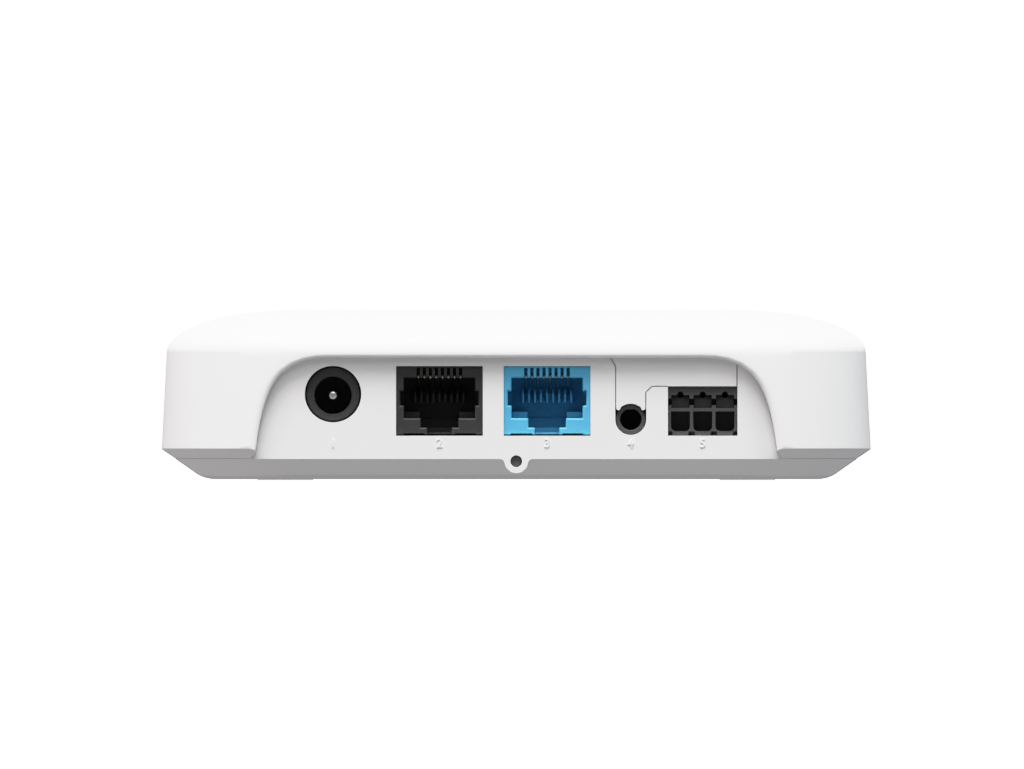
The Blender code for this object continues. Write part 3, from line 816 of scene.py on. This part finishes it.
# %% Where the ports are
POWER_X, POWER_Z = -30.85, 14.46
JACKS = {"network": -12.94, "valve": 5.18}
WINDOW_LOW, WINDOW_HIGH, WINDOW_HALF = 7.46, 19.18, 7.3
SENSE_X, SENSE_Z = 19.27, 10.2
TERMINAL_X, POLE = 31.38, 3.75
RESET_Z = 3.17
NOTCH_HALF, NOTCH_CORNER = 2.6, 15.71
THROUGH_PANEL = (PANEL_Y - 3, PANEL_Y + 4)
AROUND_PANEL = (-70.0, -40.0)
OUTSIDE = -60.0
print(f"panel at {PANEL_Y:.2f} mm, {len(JACKS) + 3} ports")


# %% Tray
def ring_block(rows, name):
    """A closed block of rings, each (inset, level), from the bottom up."""
    skin = Skin()
    skin.lay([ring_row(inset, level) for inset, level in rows])
    for inset, level in (rows[0], rows[-1]):
        corners = ring_row(inset, level)[:-1]
        skin.shape.faces.new([skin.shape.verts.new(point * MM) for point in corners])
    return skin.piece(name)


def lobe_outline():
    """The reset lobe's edge: a round nose with two small hollows beside it."""
    nose, radius, hollow = RESET_Z, 2.0, 1.0
    line = SEAM
    reach = math.sqrt((radius + hollow) ** 2 - (line - hollow - nose) ** 2)
    centre = Vector((reach, line - hollow))
    meet = math.atan2(nose - centre.y, -centre.x)
    points = [(reach + 0.01, line + 2.0)]
    sweep = (2 * math.pi + meet - math.pi / 2) % (2 * math.pi)
    points += arc(centre, hollow, math.pi / 2, sweep, 8)
    start = math.atan2(centre.y - nose, centre.x)
    points += arc((0.0, nose), radius, start, -(start + math.pi / 2), 12)[1:-1]
    points.append((0.0, nose - radius))
    left = [(-x, z) for x, z in reversed(points[:-1])]
    return points + left


def port_notch():
    """The notch for the sense jack and the terminal, open at the top."""
    x, z, reach = SENSE_X, SENSE_Z, NOTCH_HALF
    points = [(15.05, 24.5), (15.82, 20.54), (x - reach, 19.07)]
    points += arc((x, z), reach, math.pi, math.pi, 24)
    points += [(x + reach, 14.70), (x + reach + 1.0, NOTCH_CORNER), (25.53, NOTCH_CORNER), (25.53, 7.47)]
    points += [(37.23, 7.47), (37.23, 19.26), (37.5, 19.5), (37.7, 20.0), (37.7, 24.5)]
    return points


def below_panel():
    """All that lies under the panel's lower edge, apart from the lobe."""
    lobe = [point for point in lobe_outline() if point[1] <= SEAM]
    edge = SEAM - 0.06
    points = [(50.0, edge)] + [(x, min(z, edge)) for x, z in lobe] + [(-50.0, edge)]
    return points + [(-50.0, -2.0), (50.0, -2.0)]


def make_tray():
    floor = tray_low.z - 0.1
    rows = [(9.0, floor), (8.4, floor + 0.035), (7.8, floor + 0.13), (7.2, floor + 0.29)]
    rows += [(6.6, floor + 0.53), (6.0, floor + 0.86), (2.42, SEAM - 0.14), (2.33, SEAM - 0.08)]
    rows += [(2.33, SEAM + 0.01), (2.36, SEAM + 0.035), (4.1, SEAM + 0.04), (4.15, 5.2)]
    tray = ring_block(rows, "tray")
    cut(tray, ring_block([(9.4, 2.0), (8.2, 2.2), (5.5, 4.0), (5.5, 6.0)], "inside"))
    panel = ring_block([(RIM_INSET, 1.0), (RIM_INSET, 21.9)], "panel")
    cut(panel, ring_block([(RIM_INSET + 2.0, -1.0), (RIM_INSET + 2.0, 24.0)], "hollow"))
    boolean(panel, [block((-45.9, 45.9), AROUND_PANEL, (0.0, 30.0))], 'INTERSECT')
    cut(panel, slab(below_panel(), AROUND_PANEL))
    join(tray, panel)
    shrink = 0.985
    boss = [
        (x * shrink, RESET_Z + (z - RESET_Z) * shrink) for x, z in lobe_outline() if z <= SEAM
    ]
    join(tray, slab(boss, (PANEL_Y + 0.8, PANEL_Y + 5.5)))
    return tray


tray = make_tray()


# %% [markdown]
# The ports are cut through the panel: a round hole, two square windows, and one
# notch that holds the sense jack and the terminal. Small bevels afterwards give
# each edge the thin bright line that a moulded edge has.

# %% Cut the ports
cut(tray, round_y(POWER_X, POWER_Z, THROUGH_PANEL, 4.75, 96))
for x in JACKS.values():
    window = (x - WINDOW_HALF, x + WINDOW_HALF)
    cut(tray, block(window, THROUGH_PANEL, (WINDOW_LOW, WINDOW_HIGH)))
cut(tray, slab(port_notch(), THROUGH_PANEL))
cut(tray, round_y(0, RESET_Z, (PANEL_Y - 3, PANEL_Y + 7), 0.98, 48))
soften(tray, 0.09, 2)


# %% [markdown]
# Underneath, four round pockets take the rubber feet. Under each port stands a
# plain number, barely raised. The finished mesh stands for the CAD tray.

# %% Foot pockets and numbers
FEET = ("foot_port_left", "foot_port_right", "foot_far_left", "foot_far_right")
LABEL_Z = 6.15
LABELS = {"1": POWER_X, "2": JACKS["network"], "3": JACKS["valve"], "4": SENSE_X, "5": TERMINAL_X}


def make_label(figure, x):
    """A slightly raised figure under a port."""
    bpy.ops.object.select_all(action='DESELECT')
    bpy.ops.object.text_add(location=(x * MM, (PANEL_Y + 0.02) * MM, (LABEL_Z - 0.65) * MM))
    text = active()
    text.data.body = figure
    text.data.size = 2.1 * MM
    text.data.align_x = 'CENTER'
    text.data.extrude = 0.07 * MM
    text.data.bevel_depth = 0.05 * MM
    text.rotation_euler = (math.pi / 2, 0, 0)
    bpy.ops.object.convert(target='MESH')
    label = settle(active())
    return face_outwards(edit(label, bpy.ops.mesh.remove_doubles, threshold=0.001 * MM))


for name in FEET:
    low, high = node_box(name)
    x, y = (low.x + high.x) / 2, (low.y + high.y) / 2
    cut(tray, round_z(x, y, (-1.0, 1.3), 5.0, 64))
flatten(tray)
gather([tray] + [make_label(figure, x) for figure, x in LABELS.items()])
finish_piece(tray, "tray_shell", "white_shell", "base_tray")


# %% [markdown]
# ## The port insert
# A separate filler closes the notch from above. It leaves a hairline seam all
# round and cups the sense jack's barrel between two small rounded tips.

# %% Insert
def insert_outline():
    """The notch's outline made smaller by the seam, with a cup for the barrel."""
    seam, barrel, tip_radius, tip_level = 0.13, 2.62, 0.38, 12.1
    x, z, reach = SENSE_X, SENSE_Z, NOTCH_HALF - seam
    tip = arc((reach - tip_radius, tip_level), tip_radius, 0.0, -math.pi, 6)
    points = [(15.28, 23.0), (15.98, 20.5), (x - reach, 19.10), (x - reach, 12.35)]
    points += [(x - aside, level) for aside, level in tip]
    start = math.atan2(tip_level - z, 2 * tip_radius - reach)
    points += arc((x, z), barrel, start, math.pi - 2 * start, 16)[1:-1]
    points += [(x + aside, level) for aside, level in reversed(tip)]
    points += [(x + reach, 12.35), (x + reach, 14.76), (x + NOTCH_HALF + 0.95, NOTCH_CORNER + seam)]
    points += [(25.5, NOTCH_CORNER + seam), (25.6, 15.76), (37.23 - seam, 15.76), (37.23 - seam, 19.3)]
    points += [(37.4, 19.6), (37.7 - seam, 20.05), (37.7 - seam, 23.0)]
    return points


insert = slab(insert_outline(), (PANEL_Y, PANEL_Y + 2.0))
soften(insert, 0.07, 2)
finish_piece(insert, "insert_plate", "white_shell", "port_insert")


# %% [markdown]
# ## Power inlet
# The inlet is a black barrel set a little back in its hole. Its bore sits slightly
# low, and a sprung centre pin stands in it. The pin is turned metal, so it is made
# from a bar with a domed nose and a small hole in its end, and the nose catches one highlight.

# %% Power inlet
BORE_Z = POWER_Z - 0.19
BARREL_BACK = -53.0


def make_power_inlet():
    low, high = node_box("power_jack_body")
    body = block((low.x, high.x), (-54.9, high.y), (low.z, high.z))
    soften(body, 0.3, 2)
    join(body, round_y(POWER_X, POWER_Z, (low.y, BARREL_BACK), 4.45, 96))
    cut(body, round_y(POWER_X, BORE_Z, (OUTSIDE, -46.2), 3.15, 96))
    cut(body, block((POWER_X - 1.5, POWER_X + 1.5), (-49.0, -42.0), (BORE_Z - 4.3, BORE_Z - 2.9)))
    soften(body, 0.12, 3)
    return finish_piece(body, "power_barrel", "dark_plastic", "power_jack_body")


def make_power_pin():
    low, high = node_box("power_jack_pin")
    pin = round_y(POWER_X, BORE_Z, (low.y, high.y), 0.85, 48)
    soften(pin, 0.6, 6)
    cut(pin, round_y(POWER_X + 0.03, BORE_Z - 0.08, (low.y - 1.0, low.y + 4.0), 0.27, 24))
    smooth(pin, 30)
    finish_piece(pin, "power_pin", "plated_metal", "power_jack_pin")
    # The pin gets a brighter copy of the same plating; the darker copy on the contacts and leaves is
    # painted shade.
    pin.data.materials[0] = bright_metal(
        "turned_pin", (0.80, 0.78, 0.74), (0.92, 0.90, 0.86), 0.18, (1, 6, 1)
    )
    return pin


def make_power_leaf():
    """The sprung leaf under the bore, with its tail down to the board."""
    low, high = node_box("power_jack_leaf")
    leaf = block((low.x, high.x), (-48.6, -43.2), (BORE_Z - 3.9, BORE_Z - 3.5))
    join(leaf, block((low.x, high.x), (-48.4, -47.2), (BORE_Z - 3.6, BORE_Z - 3.12)))
    join(leaf, block((low.x, high.x), (-43.4, high.y), (low.z, BORE_Z - 3.5)))
    soften(leaf, 0.1, 2)
    return finish_piece(leaf, "power_leaf", "plated_metal", "power_jack_leaf")


make_power_inlet()
make_power_pin()
make_power_leaf()


# %% [markdown]
# ## The two modular sockets
# Both are the same eight-contact socket, latch side down; one is black and one is
# blue. The mouth has a wide opening, a notch at each side, a latch slot and a
# narrower slot below it. Above the mouth a comb keeps the wires apart, and another
# comb stands at the back, where the wires' free ends lie.

# %% Socket body
PITCH = 1.016
MOUTH_HALF, LATCH_HALF, KEY_HALF, COMB_HALF = 5.98, 3.16, 2.07, 4.25
SLOT_SIDE, SLOT_BEVEL = 0.27, 0.16
WIRES = [PITCH * (number - 3.5) for number in range(8)]


def pocket(body, x, half, back, z_range):
    """Cut a square recess from the front back to a depth, centred at x."""
    return cut(body, block((x - half, x + half), (OUTSIDE, back), z_range))


def chamfer_mouth(body, x, front):
    """Chamfer the front edges of the opening, and leave the outer edges alone."""
    mesh = body.data
    weights = mesh.attributes.new("bevel_weight_edge", 'FLOAT', 'EDGE')
    for edge in mesh.edges:
        ends = [mesh.vertices[index].co / MM for index in edge.vertices]
        flush = all(abs(end.y - front) < 0.01 for end in ends)
        inside = all(abs(end.x - x) < 6.9 and end.z > 8.0 for end in ends)
        weights.data[edge.index].value = 1.0 if flush and inside else 0.0
    only(body)
    bevel = body.modifiers.new("mouth", 'BEVEL')
    bevel.width = 0.22 * MM
    bevel.segments = 1
    bevel.limit_method = 'WEIGHT'
    bpy.ops.object.modifier_apply(modifier=bevel.name)


def make_socket(name, x, slot):
    low, high = node_box(f"{name}_jack_body")
    half = WINDOW_HALF - 0.03
    body = block((x - half, x + half), (low.y, high.y), (WINDOW_LOW + 0.22, WINDOW_HIGH - 0.03))
    pocket(body, x, MOUTH_HALF, -45.0, (10.4, 17.2))
    pocket(body, x, 6.6, -46.5, (12.54, 14.96))
    pocket(body, x, LATCH_HALF, -46.0, (8.82, 11.0))
    pocket(body, x, KEY_HALF, -50.0, (8.0, 9.5))
    pocket(body, x, KEY_HALF, -54.7, (7.0, 9.4))
    chamfer_mouth(body, x, low.y)
    under = [(x - 6.2, 7.0), (x - 6.1, 7.86), (x - 2.6, 7.86), (x - 2.0, 7.0)]
    cut(body, slab(under, (OUTSIDE, -55.0)))
    cut(body, slab([(2 * x - a, b) for a, b in under], (OUTSIDE, -55.0)))
    comb = (x - COMB_HALF, x + COMB_HALF)
    cut(body, block(comb, (-54.2, -48.2), (16.0, 18.95)))
    cut(body, block(comb, (-47.2, -39.0), (17.6, 18.95)))
    for offset in WIRES:
        middle = x + offset
        left = [(-SLOT_SIDE, 16.8), (-SLOT_SIDE, 18.75), (-SLOT_BEVEL, 18.9)]
        outline = left + [(-aside, z) for aside, z in reversed(left)]
        cut(body, slab([(middle + aside, z) for aside, z in outline], (OUTSIDE, -53.0)))
    soften(body, 0.09, 2)
    ribs = [body]
    for number in range(9):
        middle = x + PITCH * (number - 4)
        side = [(-50.6, 14.5), (-50.6, 13.05), (-44.8, 13.05), (-44.8, 15.3), (-49.4, 15.3)]
        rib = strip(side, (middle - 0.17, middle + 0.17))
        soften(rib, 0.06, 1)
        ribs.append(rib)
    for near, far in ((-5.95, -3.3), (3.3, 5.95)):
        step = block((x + near, x + far), (-51.0, -44.8), (10.2, 11.5))
        soften(step, 0.15, 2)
        ribs.append(step)
    gather(ribs)
    return finish_piece(body, f"{name}_socket", slot, f"{name}_jack_body")


# %% [markdown]
# Each wire comes out of the comb, turns round at the mouth and runs down towards
# the back at a slant. That bend is what shines. One wire is modelled and bevelled,
# then copied seven times to make eight, each copy with its own mesh.

# %% Contact wires
def wire_outline():
    """One wire seen from the side, as (y, z) points: top run, round bend, slanting run."""
    reach, top, half = -53.9, 17.82, 0.13
    turn, radius = math.radians(163), 0.34
    bend = arc((reach + radius, top - radius), radius, math.pi / 2, turn, 8)
    path = [(-46.2, top)] + bend + [(-47.6, 14.6)]
    outer, inner = [], []
    for index, (y, z) in enumerate(path):
        before = path[max(index - 1, 0)]
        after = path[min(index + 1, len(path) - 1)]
        along = Vector((after[0] - before[0], after[1] - before[1])).normalized()
        outer.append((y + along.y * half, z - along.x * half))
        inner.append((y - along.y * half, z + along.x * half))
    return outer + list(reversed(inner))


def make_wires(name, x):
    wire = strip(wire_outline(), (x + WIRES[0] - 0.17, x + WIRES[0] + 0.17))
    soften(wire, 0.07, 2)
    wires = [wire]
    for offset in WIRES[1:]:
        copy = wire.copy()
        copy.data = wire.data.copy()
        copy.data.transform(Matrix.Translation(((offset - WIRES[0]) * MM, 0, 0)))
        bpy.context.collection.objects.link(copy)
        wires.append(copy)
    low, high = node_box(f"{name}_jack_contacts")
    carrier = block((low.x, high.x), (-46.5, high.y), (17.7, high.z))
    soften(carrier, 0.15, 2)
    gather([carrier] + wires)
    return finish_piece(carrier, f"{name}_wires", "plated_metal", f"{name}_jack_contacts")


for socket, slot in (("network", "dark_plastic"), ("valve", "blue_plastic")):
    make_socket(socket, JACKS[socket], slot)
    make_wires(socket, JACKS[socket])


# %% [markdown]
# ## Sense jack
# Only the round nose of this jack shows, between the two tips of the insert. The
# bore's mouth is chamfered, which gives the nose its lighter ring.

# %% Sense jack
def make_sense_jack():
    low, high = node_box("sense_jack_body")
    body = block((low.x, high.x), (-55.1, high.y), (low.z, high.z))
    soften(body, 0.25, 2)
    join(body, round_y(SENSE_X, SENSE_Z, (low.y, -54.0), 2.5, 72))
    cut(body, round_y(SENSE_X, SENSE_Z, (OUTSIDE, -45.5), 1.8, 72))
    cut(body, block((SENSE_X - 0.9, SENSE_X + 0.9), (-51.0, -46.5), (SENSE_Z + 1.95, 14.0)))
    soften(body, 0.16, 3)
    finish_piece(body, "sense_socket", "dark_plastic", "sense_jack_body")
    body.data.materials[0] = CHARCOAL
    return body


def make_sense_leaf():
    """The contact leaf above the bore; only its lowest edge dips into it."""
    low, high = node_box("sense_jack_spring")
    leaf = block((low.x, high.x), (-50.4, high.y), (11.86, high.z))
    soften(leaf, 0.1, 2)
    return finish_piece(leaf, "sense_leaf", "plated_metal", "sense_jack_spring")


make_sense_jack()
make_sense_leaf()


# %% [markdown]
# ## Terminal block
# Each of its three poles has a test hole above, a release button in a pocket, and
# a wire funnel below. A groove runs across all three, and narrow ledges close the
# funnels from beneath. The buttons are separate, since each moves on its own.

# %% Terminal block
TEST_HOLE_Z, TEST_HOLE = 14.35, 0.535
POLES = [TERMINAL_X + POLE * (number - 1) for number in range(3)]


def funnel(x):
    """A wire funnel's mouth: square above, with two round corners below."""
    wide, low, high, corner = 1.6, 8.23, 11.55, 0.8
    left = [(-wide, high)]
    left += arc((-wide + corner, low + corner), corner, math.pi, math.pi / 2, 5)
    return [(x + aside, z) for aside, z in left] + [(x - aside, z) for aside, z in reversed(left)]


def make_terminal():
    low, high = node_box("terminal_body")
    body = block((25.60, 37.17), (low.y, high.y), (7.53, 15.70))
    pocket(body, TERMINAL_X, 7.0, low.y + 2.6, (12.6, 13.7))
    for x in POLES:
        pocket(body, x, 1.53, -49.9, (12.15, 14.3))
        cut(body, round_y(x, TEST_HOLE_Z, (OUTSIDE, -52.0), TEST_HOLE, 32))
        cut(body, slab(funnel(x), (OUTSIDE, -52.4)))
        cut(body, block((x - 1.4, x + 1.4), (-49.8, -43.0), (8.8, 14.0)))
    for number in range(4):
        x = TERMINAL_X + POLE * (number - 1.5)
        gap = [(x - 0.62, 7.0), (x - 0.5, 8.2), (x + 0.5, 8.2), (x + 0.62, 7.0)]
        cut(body, slab(gap, (OUTSIDE, low.y + 1.2)))
    soften(body, 0.09, 2)
    finish_piece(body, "terminal_block", "dark_plastic", "terminal_body")
    body.data.materials[0] = CHARCOAL
    return body


def make_button(number):
    """A release button with a sloping top face, riding on its own body."""
    low, high = node_box(f"terminal_button_{number}")
    y, z, top = low.y, 12.2, 14.22
    side = [(y, z), (y, z + 1.42), (y + 0.3, top), (high.y, top), (high.y, z)]
    x = POLES[number - 1]
    button = strip(side, (x - 1.47, x + 1.47))
    cut(button, round_y(x, TEST_HOLE_Z, (OUTSIDE, -52.0), TEST_HOLE, 32))
    soften(button, 0.08, 2)
    name = f"release_button_{number}"
    return finish_piece(button, name, "dark_plastic", f"terminal_button_{number}", body=f"release_{number}")


make_terminal()
for number in (1, 2, 3):
    make_button(number)


# %% [markdown]
# ## Reset button, feet and lamp window
# The reset button nearly fills its hole and is pressed with a pin. The feet are
# low discs with rolled edges. The lamp window on the far side ends in a shallow
# dome, so that it can be seen from above.

# %% Reset button
def make_reset():
    low, high = node_box("reset_button")
    button = round_y(0, RESET_Z, (low.y, high.y), 0.88, 48)
    join(button, round_y(0, RESET_Z, (-52.9, -52.1), 1.15, 48))
    soften(button, 0.1, 3)
    return finish_piece(button, "reset_pin", "grey_plastic", "reset_button", body="reset")


make_reset()


# %% Feet
def make_foot(name):
    low, high = node_box(name)
    x, y = (low.x + high.x) / 2, (low.y + high.y) / 2
    foot = round_z(x, y, (low.z, high.z), (high.x - low.x) / 2, 96)
    ring = round_z(x, y, (-0.5, low.z + 0.08), 3.6, 96)
    cut(ring, round_z(x, y, (-1.0, 1.0), 3.2, 96))
    cut(foot, ring)
    soften(foot, 0.07, 2)
    return finish_piece(foot, name + "_pad", "foot_rubber", name)


for name in FEET:
    make_foot(name)


# %% Lamp window
def make_light_pipe():
    low, high = node_box("light_pipe")
    z = (low.z + high.z) / 2
    pipe = round_y(0, z, (low.y, high.y), 1.3, 64)
    soften(pipe, 0.35, 4)
    join(pipe, round_y(0, z, (55.9, 57.0), 2.2, 64))
    smooth(pipe, 35)
    return finish_piece(pipe, "lamp_window", "clear_plastic", "light_pipe")


make_light_pipe()


# %% [markdown]
# ## Camera, floor and light
# The camera looks level at the port side, without perspective, as a product
# sheet does. Three soft panels stand high over the port side, in the middle and at
# each side, and a fourth lower in front lifts the shadows. The room adds a little
# from all round, warm from the left and cool from the right.

# %% Camera
def make_camera():
    data = bpy.data.cameras.new("camera")
    data.type = 'ORTHO'
    data.ortho_scale = 172.39 * MM
    camera = bpy.data.objects.new("camera", data)
    camera.location = Vector((-0.72, -900.0, 16.08)) * MM
    camera.rotation_euler = (math.pi / 2, 0, 0)
    bpy.context.collection.objects.link(camera)
    bpy.context.scene.camera = camera


make_camera()


# %% Floor
def make_floor():
    bpy.ops.object.select_all(action='DESELECT')
    bpy.ops.mesh.primitive_plane_add(size=6.0, location=(0, 0, 0))
    floor = active()
    floor.name = "floor"
    finish = Finish("pale_floor", 0.6)
    cloud = finish.noise(3.0, 2.0)
    tone = finish.colour((0.40, 0.40, 0.40), (0.43, 0.43, 0.43), cloud)
    floor.data.materials.append(finish.paint(tone, 0.75 + 0.1 * cloud))
    floor.visible_diffuse = False
    floor.visible_glossy = False


make_floor()


# %% Light
# The brightness that shows as white. The paper behind the hub is just that bright.
WHITE = 3.0
SHOULDER = ((0.3, 0.3), (0.6, 0.6), (0.85, 0.80), (1.2, 0.90), (1.8, 0.945), (2.7, 0.975))


def make_light(name, place, size, power, colour):
    """A round soft panel aimed at the hub."""
    data = bpy.data.lights.new(name, 'AREA')
    data.shape = 'DISK'
    data.size = size
    data.energy = power
    data.color = colour
    lamp = bpy.data.objects.new(name, data)
    lamp.location = place
    lamp.rotation_euler = (-Vector(place)).to_track_quat('-Z', 'Y').to_euler()
    bpy.context.collection.objects.link(lamp)


def make_world(warm, cool, bounce, horizon, ceiling):
    """A soft room, warm on the left, cool on the right, brighter above, and white paper behind."""
    world = bpy.data.worlds.new("studio")
    bpy.context.scene.world = world
    world.use_nodes = True
    tree = world.node_tree
    tree.nodes.clear()
    add, link = tree.nodes.new, tree.links.new
    place = add("ShaderNodeTexCoord")
    split = add("ShaderNodeSeparateXYZ")
    link(place.outputs["Generated"], split.inputs[0])

    def spread(axis, low, high, start=0.0, end=1.0):
        """Map a direction's height or side from one range to another."""
        made = add("ShaderNodeMapRange")
        for port, value in zip(("From Min", "From Max", "To Min", "To Max"), (low, high, start, end)):
            made.inputs[port].default_value = value
        link(split.outputs[axis], made.inputs["Value"])
        return made

    across = spread("X", -1.0, 1.0)
    rise = spread("Z", 0.2, 0.8, horizon, ceiling)
    rise.interpolation_type = 'SMOOTHSTEP'
    below = spread("Z", -0.05, 0.0, bounce)
    link(rise.outputs[0], below.inputs["To Max"])
    room = add("ShaderNodeMix")
    room.data_type = 'RGBA'
    room.inputs[6].default_value = (*warm, 1.0)
    room.inputs[7].default_value = (*cool, 1.0)
    link(across.outputs[0], room.inputs[0])
    soft = add("ShaderNodeBackground")
    link(room.outputs[2], soft.inputs["Color"])
    link(below.outputs[0], soft.inputs["Strength"])
    paper = add("ShaderNodeBackground")
    paper.inputs["Color"].default_value = (1.0, 1.0, 1.0, 1.0)
    paper.inputs["Strength"].default_value = WHITE
    path = add("ShaderNodeLightPath")
    mix = add("ShaderNodeMixShader")
    link(path.outputs["Is Camera Ray"], mix.inputs[0])
    link(soft.outputs[0], mix.inputs[1])
    link(paper.outputs[0], mix.inputs[2])
    output = add("ShaderNodeOutputWorld")
    link(mix.outputs[0], output.inputs[0])


def make_exposure(white, points):
    """A straight response with a soft shoulder, so that bright surfaces keep their shape."""
    view = bpy.context.scene.view_settings
    view.view_transform = 'Standard'
    view.use_curve_mapping = True
    mapping = view.curve_mapping
    mapping.white_level = (white, white, white)
    curve = mapping.curves[3]
    for light, shown in points:
        curve.points.new(light / white, shown)
    mapping.update()


make_exposure(WHITE, SHOULDER)
make_world(warm=(1.15, 1.08, 1.08), cool=(0.78, 0.82, 0.85), bounce=0.44, horizon=0.23, ceiling=0.5)
make_light("front_top", (-0.05, -0.34, 0.94), 0.45, 13.0, (1.0, 0.99, 0.985))
make_light("front_fill", (0.0, -0.68, 0.74), 0.6, 2.2, (1.0, 0.985, 0.98))
make_light("left_top", (-0.42, -0.12, 0.9), 0.45, 9.0, (1.0, 0.97, 0.965))
make_light("right_top", (0.42, -0.12, 0.9), 0.45, 8.5, (0.97, 0.99, 1.0))
